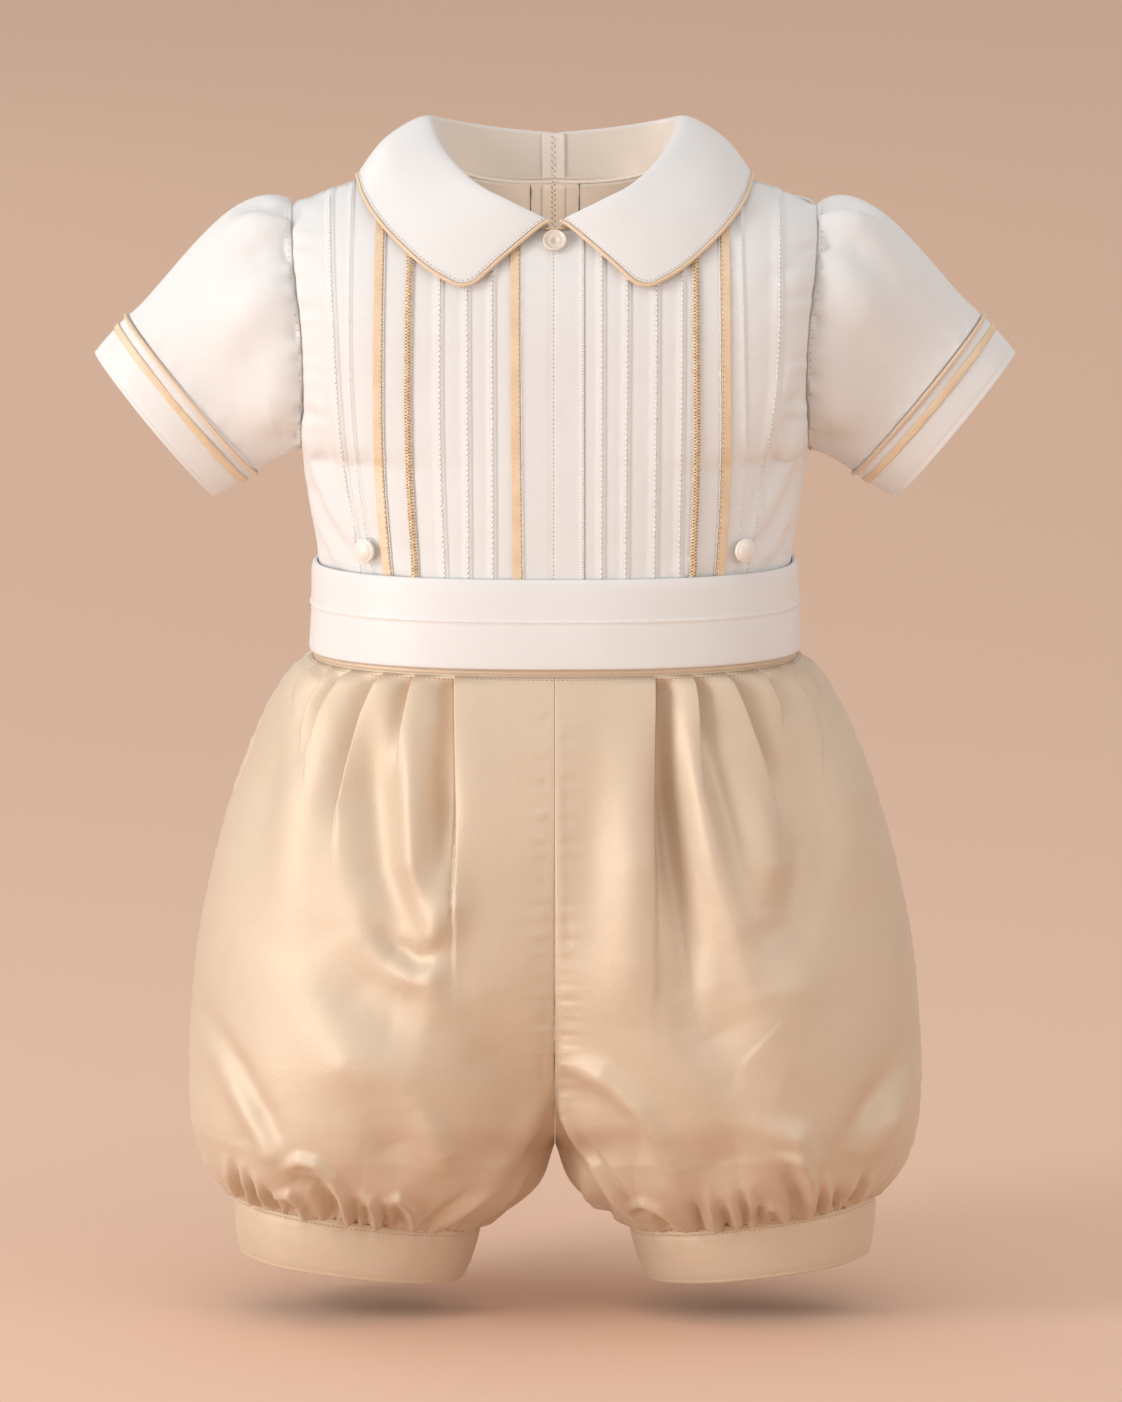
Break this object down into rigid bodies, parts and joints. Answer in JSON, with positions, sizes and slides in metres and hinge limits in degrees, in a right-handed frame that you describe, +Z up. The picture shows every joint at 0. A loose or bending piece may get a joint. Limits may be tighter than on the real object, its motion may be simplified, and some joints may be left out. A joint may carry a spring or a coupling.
{
  "type": "christening suit",
  "caption": "Baby's christening suit: tucked shirt with pointed piped collar and puffed sleeves, satin sash and bloused knee shorts, filled out and hollow.",
  "frame": {"origin": "midway between the shoulder seams, where the wearer's shoulders carry the suit", "axes": "+Z up, -Y towards the front of the suit, +X towards the viewer's right when the front is looked at"},
  "size_m": [0.3778, 0.1835, 0.4822],
  "materials": {
    "shirt_cotton": "fine off-white cotton with a soft sheen",
    "white_satin": "smooth white satin",
    "gold_piping": "gold satin piping",
    "gold_ribbon": "narrow gold satin ribbon",
    "gold_braid": "twisted gold braid",
    "champagne_satin": "champagne satin with a soft lustre",
    "button": "white gloss"
  },
  "bodies": {
    "root": {"front_left": "shirt_cotton", "front_right": "shirt_cotton", "front_placket": "shirt_cotton", "back_left": "shirt_cotton", "back_right": "shirt_cotton", "back_placket": "shirt_cotton", "sleeve_left": "shirt_cotton", "sleeve_right": "shirt_cotton", "collar_left": "white_satin", "collar_right": "white_satin", "sash": "white_satin", "sleeve_cuff_left": "white_satin", "sleeve_cuff_right": "white_satin", "collar_piping_left": "gold_piping", "collar_piping_right": "gold_piping", "cuff_piping_left": "gold_piping", "cuff_piping_right": "gold_piping", "ribbon_left_inner": "gold_ribbon", "ribbon_left_outer": "gold_ribbon", "ribbon_right": "gold_ribbon", "cuff_ribbon_left": "gold_ribbon", "cuff_ribbon_right": "gold_ribbon", "braid_left": "gold_braid", "braid_right": "gold_braid", "shorts_waistband": "champagne_satin", "leg_front_left": "champagne_satin", "leg_front_right": "champagne_satin", "leg_back_left": "champagne_satin", "leg_back_right": "champagne_satin", "leg_cuff_left": "champagne_satin", "leg_cuff_right": "champagne_satin", "collar_button": "button", "side_button_left": "button", "side_button_right": "button", "back_button_1": "button", "back_button_2": "button", "back_button_3": "button"}
  },
  "joints": []
}
